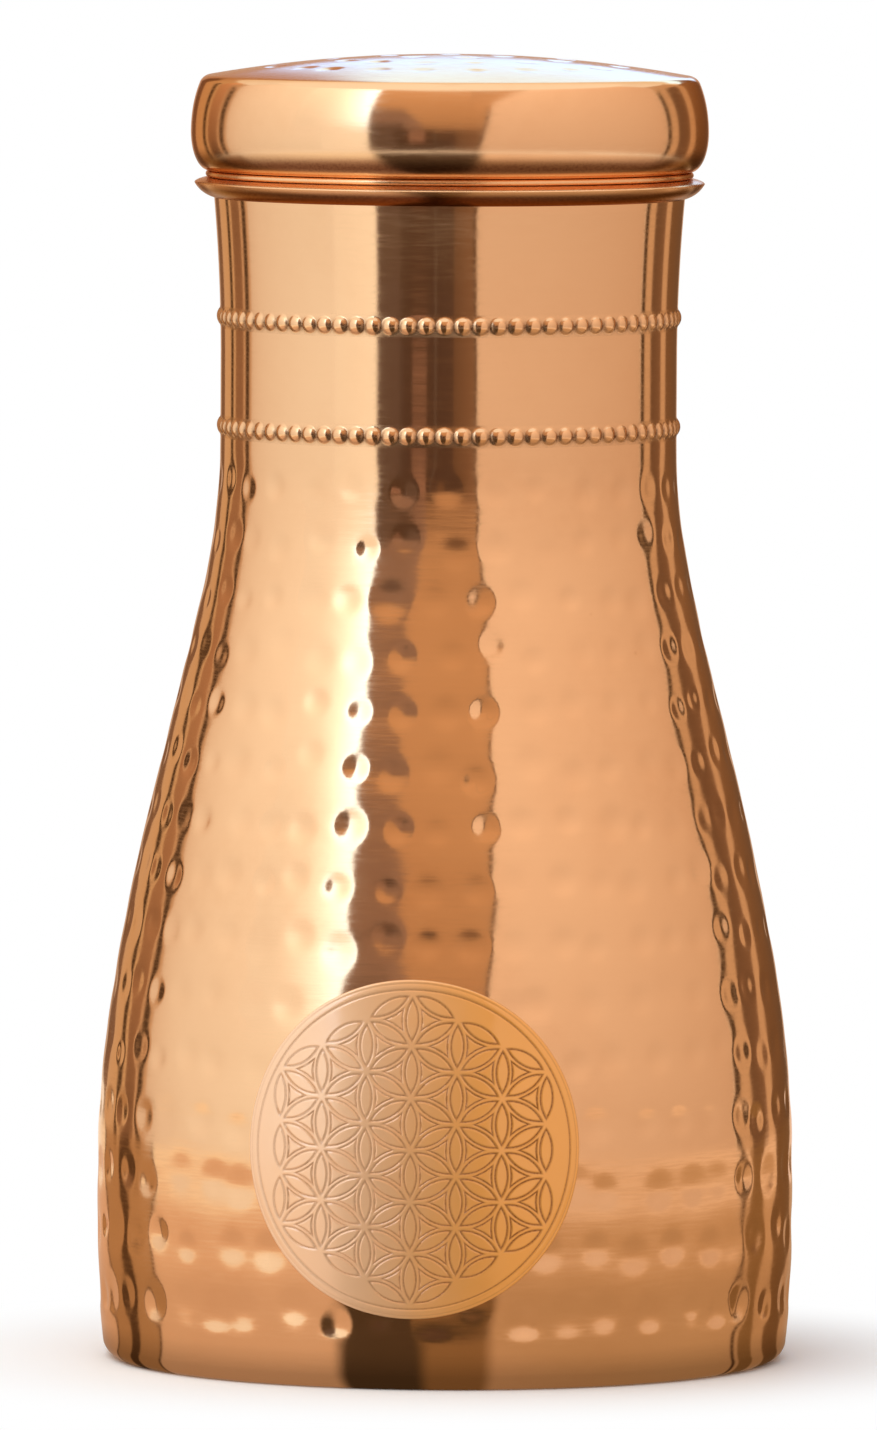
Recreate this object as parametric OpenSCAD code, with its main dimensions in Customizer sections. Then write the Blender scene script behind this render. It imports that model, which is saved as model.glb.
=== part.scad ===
// Copper jug without handle or spout: hammered belly, beaded neck, front medallion and lift-off lid.
// Millimetres, +Z up. The origin is the centre of the foot on the table, and the medallion faces -Y.

/* [Body] */
// Outside diameter of the belly at its widest
belly_d = 112.7; // [104:0.1:124]
// Height of the widest ring above the table
belly_z = 31.5; // [20:0.5:45]
// Outside diameter where the wall leaves the foot corner
foot_d = 110.6; // [100:0.1:116]
// Radius of the rounded foot corner
foot_corner = 3; // [2:0.1:5]
// Outward lean of the wall above the foot corner, degrees
foot_lean = 7; // [0:0.5:15]
// Width of the flat curled-in edge that the jug stands on
foot_curl = 5; // [3:0.5:12]
// Height from the widest ring to the turn of the shoulder
shoulder_rise = 90; // [70:1:120]
// Outside diameter at the turn of the shoulder
shoulder_d = 80.6; // [76:0.1:90]
// Inward lean of the wall at the turn of the shoulder, degrees
shoulder_lean = 13; // [8:0.5:20]
// Height from the turn of the shoulder to the neck
shoulder_run = 27.5; // [18:0.5:45]
// Thickness of the copper sheet
wall = 0.8; // [0.5:0.05:1.2]

/* [Neck] */
// Outside diameter of the neck where it is narrowest
neck_d = 73.7; // [66:0.1:78]
// Height of the straight part of the neck
neck_straight = 13; // [4:0.5:30]
// Height over which the neck opens to the mouth
neck_flare = 25.7; // [18:0.1:40]
// Outside diameter of the neck under the rim
mouth_d = 76; // [72:0.1:82]
// Outward lean of the neck under the rim, degrees
mouth_lean = 5; // [0:0.5:10]

/* [Rim] */
// Height of the rim from its lower edge to the lid seat
rim_h = 3.2; // [2.8:0.1:6]
// Reach of the rim's nose beyond the neck
rim_proud = 3.2; // [2:0.1:5]
// Height of the nose above the rim's lower edge
rim_nose = 2.4; // [1.5:0.1:2.6]
// Width of the flat lid seat outside the neck's face
rim_seat = 1.4; // [0.8:0.1:1.9]
// Thickness of the rim over the neck's top edge
rim_lap = 0.7; // [0.5:0.1:1.5]

/* [Bead bands] */
// Distance from the rim's lower edge down to the upper bead row
band_drop = 19.2; // [10:0.1:26]
// Distance between the two bead rows
band_spacing = 17.6; // [8:0.1:24]
// Width of the strip under the beads
band_w = 4; // [3:0.1:6]
// Thickness of the strip
band_t = 0.15; // [0.1:0.05:0.4]
// Distance from bead to bead along the row
bead_pitch = 2.9; // [2.7:0.05:5]
// Diameter of a bead where it meets the strip
bead_d = 2.6; // [1.6:0.05:2.6]
// Height of the beads above the strip
bead_stand = 0.4; // [0.2:0.05:0.8]

/* [Medallion] */
// Diameter of the round plaque
medal_d = 54.4; // [36:0.2:60]
// Thickness of the plaque
medal_t = 0.4; // [0.3:0.05:1]
// Height of the plaque's centre above the table
medal_z = 38.5; // [33:0.5:60]

/* [Base] */
// Thickness of the base plate
base_t = 0.8; // [0.5:0.05:1.5]
// Width of the flat edge of the base plate
base_land = 9; // [7:0.5:20]
// Rise of the dished middle of the base plate
base_dish = 1.5; // [0.5:0.1:4]
// Width of the sloping step between the flat edge and the dished middle
base_step = 4; // [2:0.5:10]
// Reach of the solder over the edge of the base plate
seal_w = 1.5; // [0.8:0.1:3]

/* [Lid] */
// Depth of the sleeve below the lid seat
lid_depth = 14; // [8:0.5:30]
// Running clearance between the sleeve and the neck
lid_clear = 0.4; // [0.2:0.05:0.8]
// Thickness of the rolled hem under the lid
hem_t = 1; // [1:0.1:2]
// Reach of the hem beyond the lid seat
hem_proud = 0; // [0:0.1:1]
// Width of the turned-in lip of the cap that sits on the hem
lip_w = 1.6; // [1:0.1:2.4]
// Distance from the hem's edge in to the foot of the drum
drum_inset = 0.5; // [0.3:0.1:1.2]
// Swell of the drum beyond the hem
drum_swell = 2.4; // [1:0.1:5]
// Height from the lip up to the widest ring of the drum
drum_low = 6.2; // [3:0.1:10]
// Height from the widest ring of the drum up to its top edge
drum_high = 9; // [5:0.1:20]
// Draw-in of the drum from its widest ring to its top edge
drum_draw = 1.85; // [0.5:0.05:4]
// Length of the rounding at the drum's top edge
drum_corner = 1; // [0.6:0.1:2]
// Rise of the domed top above the drum's edge
dome_rise = 3.6; // [1:0.1:8]

/* [Fits] */
// Solder gap between pieces that are joined
solder_gap = 0.05; // [0.02:0.01:0.1]
// Gap between the resting lid and its seat
seat_gap = 0.1; // [0.05:0.05:0.3]

/* [Hidden] */
$fn = 96;

// Steps along each run of the body's wall and along each short round
wall_steps = 14;
round_steps = 8;
// Steps up the plaque: an odd count keeps an edge off its middle
plaque_steps = 15;
// Corners that bend the rim's underside and its upper side, as shares of the side's width and height
under_corner = [0.68, 0.25];
upper_corner = [0.06, 0.56];
// Handle shares that bend a cubic curve into a quarter round and into a parabola
quarter_share = 0.5523;
parabola_share = 2 / 3;
// Stock beyond a face that a cut goes through
cut_over = 5;

// Heights, from the table up
foot_top_z = foot_corner * (1 - sin(foot_lean));
shoulder_z = belly_z + shoulder_rise;
neck_z = shoulder_z + shoulder_run;
flare_z = neck_z + neck_straight;
rim_z = flare_z + neck_flare;
seat_z = rim_z + rim_h;
neck_top_z = seat_z - rim_lap - solder_gap;
lid_z = seat_z + seat_gap;
lip_z = lid_z + hem_t + solder_gap;
drum_z = lip_z + drum_low;
drum_top_z = drum_z + drum_high;
upper_band_z = rim_z - band_drop;
lower_band_z = upper_band_z - band_spacing;

// Radii
foot_flat_r = foot_d / 2 - foot_corner * cos(foot_lean);
mouth_r = mouth_d / 2;
seat_r = mouth_r + rim_seat;
hem_r = seat_r + hem_proud;
drum_r = hem_r + drum_swell;
drum_foot_r = hem_r - drum_inset;
drum_top_r = drum_r - drum_draw;
base_r = foot_flat_r - solder_gap;
base_z = wall + solder_gap;

// Height, radius and slope of the wall where its runs meet
foot_station = [foot_top_z, foot_d / 2, tan(foot_lean)];
belly_station = [belly_z, belly_d / 2, 0];
shoulder_station = [shoulder_z, shoulder_d / 2, -tan(shoulder_lean)];
neck_station = [neck_z, neck_d / 2, 0];
flare_station = [flare_z, neck_d / 2, 0];
mouth_station = [rim_z, mouth_r, tan(mouth_lean)];

// Radius at height z on the smooth run between stations a and b
function run_r(a, b, z) =
    let (h = b[0] - a[0], t = (z - a[0]) / h)
    a[1] * (2 * t^3 - 3 * t^2 + 1) + b[1] * (3 * t^2 - 2 * t^3)
    + h * (a[2] * (t^3 - 2 * t^2 + t) + b[2] * (t^3 - t^2));

// Outside radius of the body at height z above the foot corner
function wall_r(z) =
    z < belly_z ? run_r(foot_station, belly_station, z)
    : z < shoulder_z ? run_r(belly_station, shoulder_station, z)
    : z < neck_z ? run_r(shoulder_station, neck_station, z)
    : z < flare_z ? neck_d / 2
    : z < rim_z ? run_r(flare_station, mouth_station, z)
    : mouth_r;

// Points of the wall, pushed out by a distance, from height a to height b
function wall_points(a, b, out, steps) =
    [for (i = [0:steps]) let (z = a + (b - a) * i / steps) [wall_r(z) + out, z]];

// Curve from a to b that leaves and arrives along the lines through corner c
function bend(a, c, b, share = quarter_share) =
    let (p = a + share * (c - a), q = b + share * (c - b))
    [for (i = [0:round_steps]) let (t = i / round_steps, s = 1 - t)
        s^3 * a + 3 * s^2 * t * p + 3 * s * t^2 * q + t^3 * b];

// Point at a share of the way from a to b, across and up
function between(a, b, share) = [a[0] + share[0] * (b[0] - a[0]), a[1] + share[1] * (b[1] - a[1])];

// Points of an arc about a centre, from angle a to angle b
function arc(centre, r, a, b) =
    [for (i = [0:round_steps]) let (t = a + (b - a) * i / round_steps) centre + r * [cos(t), sin(t)]];

// All but the first point, so that joined runs share no point twice
function tail(points) = [for (i = [1:len(points) - 1]) points[i]];

function reversed(points) = [for (i = [len(points) - 1:-1:0]) points[i]];

// The same path moved to its left by a distance, square to its direction
function moved_left(points, distance) =
    let (last = len(points) - 1)
    [for (i = [0:last])
        let (along = points[min(i + 1, last)] - points[max(i - 1, 0)])
        points[i] + distance * [-along[1], along[0]] / norm(along)];

// Outside of the body in section, from the foot curl up to the neck's top edge
heights = [foot_top_z, belly_z, shoulder_z, neck_z, flare_z, rim_z];
body_outside = concat(
    [[foot_flat_r - foot_curl, 0]],
    arc([foot_flat_r, foot_corner], foot_corner, -90, -foot_lean),
    [for (k = [0:len(heights) - 2]) each tail(wall_points(heights[k], heights[k + 1], 0, wall_steps))],
    [[mouth_r, neck_top_z]]
);

// Height of the lid's domed top at radius r, moved in by a distance
dome_r = (drum_top_r^2 + dome_rise^2) / (2 * dome_rise);
function dome_z(r, inset) = drum_top_z + dome_rise - dome_r + sqrt((dome_r - inset)^2 - r^2);

// Section of the cap's skin, from its lip out, up and in to the middle of the dome, moved in by a distance
function cap_path(inset) =
    let (
        lip_edge = [drum_foot_r - lip_w, lip_z + inset],
        foot = [drum_foot_r, lip_z + inset],
        widest = [drum_r - inset, drum_z],
        middle = [drum_r - inset, (drum_z + drum_top_z) / 2],
        edge_r = drum_top_r - inset,
        edge = [edge_r, dome_z(edge_r, inset)],
        below = edge + drum_corner * (middle - edge) / norm(middle - edge),
        inner_r = edge_r - drum_corner,
        inner = [inner_r, dome_z(inner_r, inset)]
    )
    concat(
        [lip_edge],
        bend(foot, [widest[0], foot[1]], widest),
        tail(bend(widest, middle, below, parabola_share)),
        tail(bend(below, edge, inner)),
        [for (i = [1:wall_steps]) let (r = inner_r * (1 - i / wall_steps)) [r, dome_z(r, inset)]]
    );

// Outside radius of the lid's sleeve at height z
function sleeve_r(z) = wall_r(z) - wall - lid_clear;

module turned(points) {
    rotate_extrude() polygon(points);
}

// Sheet of a thickness laid over the wall between two heights
module skin(low_z, high_z, thickness, steps) {
    turned(concat(
        wall_points(low_z, high_z, solder_gap + thickness, steps),
        reversed(wall_points(low_z, high_z, solder_gap, steps))
    ));
}

// Spun sheet of the body, with its foot edge curled in
module body_shell() {
    color("#d9905c") turned(concat(body_outside, reversed(moved_left(body_outside, wall))));
}

// Bottom disc on the foot curl, dished up in the middle
module base_plate() {
    land_r = base_r - base_land;
    middle_r = land_r - base_step;
    underside = [[0, base_z + base_dish], [middle_r, base_z + base_dish], [land_r, base_z], [base_r, base_z]];
    color("#c98a5e") turned(concat(underside, reversed([for (p = underside) p + [0, base_t]])));
}

// Fillet of solder between the base plate's edge and the wall
module base_seal() {
    corner = arc([foot_flat_r, foot_corner], foot_corner - wall - solder_gap, -90, -foot_lean);
    plate_top_z = base_z + base_t + solder_gap;
    color("#b9b3a6") turned(concat(corner, [[base_r - seal_w, plate_top_z], [foot_flat_r, plate_top_z]]));
}

// Turned-out ring on the neck's top edge, drawn out to a narrow nose
module mouth_rim() {
    neck_face_r = mouth_r + solder_gap;
    root = [neck_face_r, rim_z];
    nose = [mouth_r + rim_proud, rim_z + rim_nose];
    seat = [seat_r, seat_z];
    color("#e0a070") turned(concat(
        bend(root, between(root, nose, under_corner), nose, parabola_share),
        tail(bend(nose, between(nose, seat, upper_corner), seat, parabola_share)),
        [[mouth_r - wall, seat_z], [mouth_r - wall, seat_z - rim_lap], [neck_face_r, seat_z - rim_lap]]
    ));
}

// Domed bead with a flat back, standing out along +X
module bead() {
    ball_r = (bead_d^2 / 4 + bead_stand^2) / (2 * bead_stand);
    rotate([0, 90, 0]) rotate_extrude() intersection() {
        translate([0, bead_stand - ball_r]) circle(r = ball_r);
        square(bead_d);
    }
}

// Strip round the neck at height z, with a row of beads soldered on it
module bead_band(z) {
    low_z = z - band_w / 2;
    high_z = z + band_w / 2;
    crest_r = (wall_r(low_z) + wall_r(high_z)) / 2 + solder_gap + band_t;
    count = floor(2 * PI * crest_r / bead_pitch);
    skin(low_z, high_z, band_t, 1);
    for (i = [0:count - 1])
        rotate([0, 0, 360 * i / count]) translate([crest_r + solder_gap, 0, z]) bead();
}

module upper_bead_band() {
    color("#dd9a68") bead_band(upper_band_z);
}

module lower_bead_band() {
    color("#dd9a68") bead_band(lower_band_z);
}

// Thin round plaque bent to the front of the belly
module medallion() {
    half = medal_d / 2 + cut_over;
    color("#efbf9a") intersection() {
        skin(medal_z - half, medal_z + half, medal_t, plaque_steps);
        translate([0, 0, medal_z]) rotate([90, 0, 0]) cylinder(d = medal_d, h = belly_d / 2 + cut_over);
    }
}

// Drum and domed top of the lid
module lid_cap() {
    color("#e3a374") turned(concat(cap_path(0), reversed(cap_path(wall))));
}

// Collar of the lid inside the neck, with the rolled hem that rests on the rim
module lid_sleeve() {
    bottom_z = lid_z - lid_depth;
    outside = [for (i = [0:round_steps])
        let (z = bottom_z + lid_depth * i / round_steps) [sleeve_r(z), z]];
    hem_middle = [hem_r - hem_t / 2, lid_z + hem_t / 2];
    inside = concat([[sleeve_r(lid_z), lid_z + hem_t]], reversed(outside));
    color("#d9874e") turned(concat(
        outside,
        arc(hem_middle, hem_t / 2, -90, 90),
        [for (p = inside) p - [wall, 0]]
    ));
}

body_shell();
base_plate();
base_seal();
mouth_rim();
upper_bead_band();
lower_bead_band();
medallion();
lid_cap();
lid_sleeve();
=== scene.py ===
import math
import random
from types import SimpleNamespace

import bpy
import numpy as np
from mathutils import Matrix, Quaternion, Vector, geometry


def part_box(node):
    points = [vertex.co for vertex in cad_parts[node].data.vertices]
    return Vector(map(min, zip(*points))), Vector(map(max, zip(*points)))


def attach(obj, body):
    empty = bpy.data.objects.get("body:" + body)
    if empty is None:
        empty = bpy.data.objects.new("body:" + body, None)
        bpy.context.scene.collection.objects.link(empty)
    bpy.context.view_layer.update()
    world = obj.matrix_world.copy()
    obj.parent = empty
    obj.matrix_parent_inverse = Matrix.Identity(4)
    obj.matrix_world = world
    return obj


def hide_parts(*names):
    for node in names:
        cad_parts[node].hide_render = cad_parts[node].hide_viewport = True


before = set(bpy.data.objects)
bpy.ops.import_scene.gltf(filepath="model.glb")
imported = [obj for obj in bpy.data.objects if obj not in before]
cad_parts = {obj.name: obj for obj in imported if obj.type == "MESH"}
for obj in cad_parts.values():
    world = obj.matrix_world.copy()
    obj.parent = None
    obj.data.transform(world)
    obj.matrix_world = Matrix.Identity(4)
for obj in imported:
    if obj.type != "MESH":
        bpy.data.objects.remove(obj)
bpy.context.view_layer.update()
mm = 0.001  # the pieces' sizes are millimetres, and their meshes are metres
print("frame loaded with", len(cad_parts), "nodes")


# Mesh helpers

quarterShare = 0.5523  # a cubic with its handles at this share follows a quarter circle
parabolaShare = 2 / 3  # and at this share it follows a parabola


def named(values):
    # lets a function read the values of a dictionary by their names alone
    return SimpleNamespace(**values)


def nodeHeights(node):
    low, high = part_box(node)
    return low.z / mm, high.z / mm


def nodeRadius(node):
    low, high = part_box(node)
    return (high.x - low.x) / 2 / mm


def smoothStep(low, high, value):
    share = np.clip((value - low) / (high - low), 0, 1)
    return share * share * (3 - 2 * share)


def evenTurns(count, offset=0.0):
    return (np.arange(count) + offset) * 2 * math.pi / count


def onCircle(radius, angles):
    return np.stack((radius * np.cos(angles), radius * np.sin(angles)), 1)


def bend(start, corner, end, steps, share=quarterShare):
    # cubic that leaves and arrives along the lines through the corner
    a, c, b = (np.array(p, float) for p in (start, corner, end))
    p, q = a + share * (c - a), b + share * (c - b)
    made = []
    for i in range(steps + 1):
        t = i / steps
        s = 1 - t
        made.append(tuple(s**3 * a + 3 * s**2 * t * p + 3 * s * t**2 * q + t**3 * b))
    return made


def arcPoints(centre, radius, fromDeg, toDeg, steps):
    angles = np.radians(np.linspace(fromDeg, toDeg, steps + 1))
    return [tuple(p) for p in onCircle(radius, angles) + centre]


def movedLeft(path, distance):
    # the same section path, shifted square to its direction
    made = []
    last = len(path) - 1
    for i, point in enumerate(path):
        before, after = path[max(i - 1, 0)], path[min(i + 1, last)]
        dr, dz = after[0] - before[0], after[1] - before[1]
        length = math.hypot(dr, dz)
        made.append((point[0] - distance * dz / length, point[1] + distance * dr / length))
    return made


class Shape:
    # points and faces of one piece, built up ring by ring
    def __init__(self, columns=1):
        self.columns = columns
        self.angles = evenTurns(columns)
        self.points = []
        self.faces = []

    def addPoint(self, point):
        self.points.append(tuple(point))
        return len(self.points) - 1

    def addRing(self, radius, height):
        # one radius for a plain ring, or one for each column; a ring on the axis is one point
        if np.ndim(radius) == 0 and radius == 0:
            return [self.addPoint((0, 0, height))]
        return [self.addPoint((x, y, height)) for x, y in onCircle(radius, self.angles)]

    def bridge(self, lower, upper):
        for k in range(self.columns):
            n = (k + 1) % self.columns
            if len(lower) == 1:
                self.faces.append((lower[0], upper[n], upper[k]))
            elif len(upper) == 1:
                self.faces.append((lower[k], lower[n], upper[0]))
            else:
                self.faces.append((lower[k], lower[n], upper[n], upper[k]))

    def turn(self, path, start=None):
        # sweeps a section path round the axis, from an existing ring if one is given
        previous = start
        for radius, height in path:
            ring = self.addRing(radius, height)
            if previous is not None:
                self.bridge(previous, ring)
            previous = ring
        return previous

    def closeLoop(self, last):
        # joins the last ring of a section to its first
        self.bridge(last, list(range(self.columns)))

    def fillFlat(self, flat, owners, apart, skip=frozenset(), flipped=False):
        # joins points laid out flat with triangles, but for those that lie all on the ring to skip
        found = geometry.delaunay_2d_cdt(flat, [], [], 0, apart)
        for face in found[2]:
            corners = [owners[found[3][i][0]] for i in (reversed(face) if flipped else face)]
            if not skip.issuperset(corners):
                self.faces.append(tuple(corners))


def addObject(name, data):
    made = bpy.data.objects.new(name, data)
    bpy.context.scene.collection.objects.link(made)
    return made


def makePiece(name, shape, material, body, replaced, sharpDeg=40):
    mesh = bpy.data.meshes.new(name)
    mesh.from_pydata([(x * mm, y * mm, z * mm) for x, y, z in shape.points], [], shape.faces)
    mesh.validate()
    mesh.shade_smooth()
    mesh.set_sharp_from_angle(angle=math.radians(sharpDeg))
    mesh.materials.append(material)
    piece = addObject(name, mesh)
    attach(piece, body)
    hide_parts(replaced)
    print(name, "has", sum(len(f) - 2 for f in shape.faces), "triangles")
    return piece


def paintPoints(piece, name, values):
    layer = piece.data.attributes.new(name, "FLOAT", "POINT")
    layer.data.foreach_set("value", np.asarray(values, np.float32))


# Node helpers

def place(tree, kind, inputs=None, **settings):
    made = tree.nodes.new("ShaderNode" + kind)
    for name, value in settings.items():
        setattr(made, name, value)
    for name, value in (inputs or {}).items():
        if isinstance(value, bpy.types.NodeSocket):
            tree.links.new(value, made.inputs[name])
        else:
            made.inputs[name].default_value = value
    return made


def calc(tree, operation, *values, clamp=False):
    return place(tree, "Math", dict(enumerate(values)), operation=operation, use_clamp=clamp).outputs[0]


def mixColour(tree, share, a, b):
    return place(tree, "Mix", {0: share, 6: a, 7: b}, data_type="RGBA").outputs[2]


def mixValue(tree, share, a, b):
    return place(tree, "Mix", {0: share, 2: a, 3: b}, data_type="FLOAT").outputs[0]


def rampValue(tree, value, fromLow, fromHigh, toLow=0.0, toHigh=1.0):
    given = {"Value": value, "From Min": fromLow, "From Max": fromHigh, "To Min": toLow, "To Max": toHigh}
    return place(tree, "MapRange", given, interpolation_type="SMOOTHSTEP").outputs["Result"]


def within(tree, value, first, last, soft):
    return calc(tree, "MULTIPLY", rampValue(tree, value, first - soft, first + soft),
                rampValue(tree, value, last + soft, last - soft))


def objectSpot(tree):
    return place(tree, "TexCoord").outputs["Object"]


def noise(tree, spot, scale, detail, distortion=0.0):
    given = {"Vector": spot, "Scale": scale, "Detail": detail, "Distortion": distortion}
    return place(tree, "TexNoise", given).outputs["Fac"]


def newGroup(name, inputs, outputs):
    tree = bpy.data.node_groups.new(name, "ShaderNodeTree")
    for label, value in inputs.items():
        kind = "NodeSocketColor" if isinstance(value, tuple) else "NodeSocketFloat"
        tree.interface.new_socket(name=label, in_out="INPUT", socket_type=kind).default_value = value
    for label, kind in outputs.items():
        tree.interface.new_socket(name=label, in_out="OUTPUT", socket_type="NodeSocket" + kind)
    given = tree.nodes.new("NodeGroupInput").outputs
    result = tree.nodes.new("NodeGroupOutput").inputs
    return tree, given, result


def useGroup(tree, group, values):
    # sets each input of the group to the value of the same name
    made = place(tree, "Group", node_tree=group)
    for socket in made.inputs:
        socket.default_value = values[socket.name]
    return made.outputs


def newMaterial(name):
    material = bpy.data.materials.new(name)
    material.use_nodes = True
    tree = material.node_tree
    tree.nodes.clear()
    return material, tree


# Effects that several finishes share

# noises have a scale, a detail and at times a distortion, and ranges are where a mask starts and ends
spinning = {"slant": -0.7, "lines": (1.0, 3.0), "fine": (3.7, 1.0), "streak": (0.42, 0.68)}
ageing = {
    "cloud": (24.0, 5.0, 0.4), "cloudRange": (0.40, 0.70),
    "grain": (420.0, 2.0), "grainRange": (0.25, 0.75, 0.6, 1.0),
    "cells": 150.0, "dot": (0.075, 0.035), "rare": (0.86, 0.9),
}
peeling = {"wideDetail": 2.0, "tightScale": 3.3, "tightDetail": 1.0, "tightShare": 0.3, "grain": (0.35, 0.75)}


def makeSpinLines():
    # fine lines that the spinning tool leaves round the axis, and the chatter along them
    s = named(spinning)
    tree, given, result = newGroup("spinLines", {"lineWidth": 0.0014, "chatter": 0.012},
                                   {"Height": "Float", "Streak": "Float"})
    parts = place(tree, "SeparateXYZ", {0: objectSpot(tree)}).outputs
    flat = place(tree, "CombineXYZ", {0: parts[0], 1: parts[1]}).outputs[0]
    radius = place(tree, "VectorMath", {0: flat}, operation="LENGTH").outputs["Value"]
    along = calc(tree, "ADD", parts[2], calc(tree, "MULTIPLY", radius, s.slant))
    stretched = place(tree, "CombineXYZ", {
        0: calc(tree, "DIVIDE", parts[0], given["chatter"]),
        1: calc(tree, "DIVIDE", parts[1], given["chatter"]),
        2: calc(tree, "DIVIDE", along, given["lineWidth"]),
    }).outputs[0]
    fine = noise(tree, stretched, *s.fine)
    tree.links.new(noise(tree, stretched, *s.lines), result["Height"])
    tree.links.new(rampValue(tree, fine, *s.streak), result["Streak"])
    return tree


def makeTarnish():
    # slow colour change over the copper, with a few small dark specks
    s = named(ageing)
    tree, given, result = newGroup(
        "tarnish", {"clean": (0.9, 0.5, 0.3, 1), "aged": (0.7, 0.35, 0.18, 1), "tarnish": 0.5, "specks": 0.5},
        {"Color": "Color", "Mask": "Float"})
    spot = objectSpot(tree)
    cloud = rampValue(tree, noise(tree, spot, *s.cloud), *s.cloudRange)
    grain = rampValue(tree, noise(tree, spot, *s.grain), *s.grainRange)
    cells = place(tree, "TexVoronoi", {"Vector": spot, "Scale": s.cells}).outputs
    dot = rampValue(tree, cells["Distance"], *s.dot)
    rare = rampValue(tree, place(tree, "SeparateColor", {0: cells["Color"]}).outputs[0], *s.rare)
    speck = calc(tree, "MULTIPLY", calc(tree, "MULTIPLY", dot, rare), given["specks"])
    patch = calc(tree, "MULTIPLY", calc(tree, "MULTIPLY", cloud, grain), given["tarnish"])
    mask = calc(tree, "MAXIMUM", patch, speck, clamp=True)
    tree.links.new(mixColour(tree, mask, given["clean"], given["aged"]), result["Color"])
    tree.links.new(mask, result["Mask"])
    return tree


def makePeel():
    # faint unevenness of hand-polished sheet
    s = named(peeling)
    tree, given, result = newGroup("polishPeel", {"peelSize": 0.0012}, {"Height": "Float", "Grain": "Float"})
    spot = objectSpot(tree)
    scale = calc(tree, "DIVIDE", 1.0, given["peelSize"])
    wide = noise(tree, spot, scale, s.wideDetail)
    tight = noise(tree, spot, calc(tree, "MULTIPLY", scale, s.tightScale), s.tightDetail)
    tree.links.new(mixValue(tree, s.tightShare, wide, tight), result["Height"])
    tree.links.new(rampValue(tree, tight, *s.grain), result["Grain"])
    return tree


spinLines = makeSpinLines()
tarnish = makeTarnish()
polishPeel = makePeel()
print("surface effects made")
streakTurn = 0.25  # lays the shine of the brushed lines along the axis


def copperFinish(name, look, crevice=None):
    # polished copper, darker where a painted layer marks it: patina in the medallion's grooves and a darker
    # edge there, painted shade with dirt about the beads, and a darker brown under the rim and lid
    material, tree = newMaterial(name)
    age, lines, peel = (useGroup(tree, group, look) for group in (tarnish, spinLines, polishPeel))
    colour = age["Color"]
    if "rightShadeTone" in look:  # painted shade: a deeper, more golden tone towards the medallion's right, away from the light, where a painted layer marks
        side = place(tree, "Attribute", attribute_name="side").outputs["Fac"]
        colour = mixColour(tree, side, colour, look["rightShadeTone"])
    rough = calc(tree, "MULTIPLY_ADD", age["Mask"], look["roughAged"], look["rough"])
    rough = calc(tree, "ADD", rough, calc(tree, "MULTIPLY", lines["Streak"], look["roughStreak"]))
    metal = look["metal"]
    lacquer = look["lacquer"]
    if crevice:
        mark = place(tree, "Attribute", attribute_name=crevice["layer"]).outputs["Fac"]
        patchy = rampValue(tree, peel["Grain"], 0.0, 1.0, crevice["least"])
        darkening = calc(tree, "MULTIPLY", mark, patchy)
        colour = mixColour(tree, darkening, colour, crevice["colour"])
        rough = mixValue(tree, darkening, rough, crevice["rough"])
        if "metal" in crevice:
            metal = mixValue(tree, darkening, metal, crevice["metal"])
        if lacquer:  # the lacquer has not filled the hollows
            lacquer = mixValue(tree, darkening, lacquer, 0.0)
    bumped = place(tree, "Bump", {"Height": lines["Height"], "Distance": look["lineDepth"]}).outputs[0]
    bumped = place(tree, "Bump", {
        "Height": peel["Height"], "Distance": look["peelDepth"], "Normal": bumped}).outputs[0]
    around = place(tree, "Tangent", direction_type="RADIAL", axis="Z").outputs[0]
    shader = place(tree, "BsdfPrincipled", {
        "Base Color": colour, "Metallic": metal, "Roughness": rough, "Normal": bumped, "Tangent": around,
        "Anisotropic": look["brushed"], "Anisotropic Rotation": streakTurn, "Specular Tint": look["edgeTint"],
        "Coat Weight": lacquer, "Coat Roughness": look["lacquerRough"], "Coat IOR": look["lacquerIor"],
    })
    place(tree, "OutputMaterial", {"Surface": shader.outputs[0]})
    return material


# Body wall: the outline repeats the solid's sizes

wallSizes = {
    "bellyWidth": 112.7, "bellyHeight": 31.5,
    "footWidth": 110.6, "footCorner": 3.0, "footLean": 7.0, "footCurl": 5.0,
    "shoulderWidth": 80.6, "shoulderHeight": 121.5, "shoulderLean": 13.0,
    "neckWidth": 73.7, "neckHeight": 149.0, "flareHeight": 162.0,
    "mouthWidth": 76.0, "mouthLean": 5.0,
    "sheet": 0.8,
}
wall = named(wallSizes)
rimLow, seatHeight = nodeHeights("mouth_rim")
neckTop = nodeHeights("body_shell")[1]
footLean = math.radians(wall.footLean)
footTop = wall.footCorner * (1 - math.sin(footLean))
footRadius = wall.footWidth / 2
footFlat = footRadius - wall.footCorner * math.cos(footLean)
neckRadius = wall.neckWidth / 2
mouthRadius = wall.mouthWidth / 2
sheet = wall.sheet
slopeStep = 0.05
stations = [  # height, radius and slope where the runs of the wall meet
    (footTop, footRadius, math.tan(footLean)),
    (wall.bellyHeight, wall.bellyWidth / 2, 0.0),
    (wall.shoulderHeight, wall.shoulderWidth / 2, -math.tan(math.radians(wall.shoulderLean))),
    (wall.neckHeight, neckRadius, 0.0),
    (wall.flareHeight, neckRadius, 0.0),
    (rimLow, mouthRadius, math.tan(math.radians(wall.mouthLean))),
]


def wallRadius(height):
    height = np.asarray(height, float)
    radius = np.full_like(height, mouthRadius)
    for (z0, r0, s0), (z1, r1, s1) in zip(stations, stations[1:]):
        span = z1 - z0
        t = (height - z0) / span
        run = r0 * (2 * t**3 - 3 * t**2 + 1) + r1 * (3 * t**2 - 2 * t**3)
        run += span * (s0 * (t**3 - 2 * t**2 + t) + s1 * (t**3 - t**2))
        radius = np.where((height >= z0) & (height < z1), run, radius)
    return radius


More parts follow.
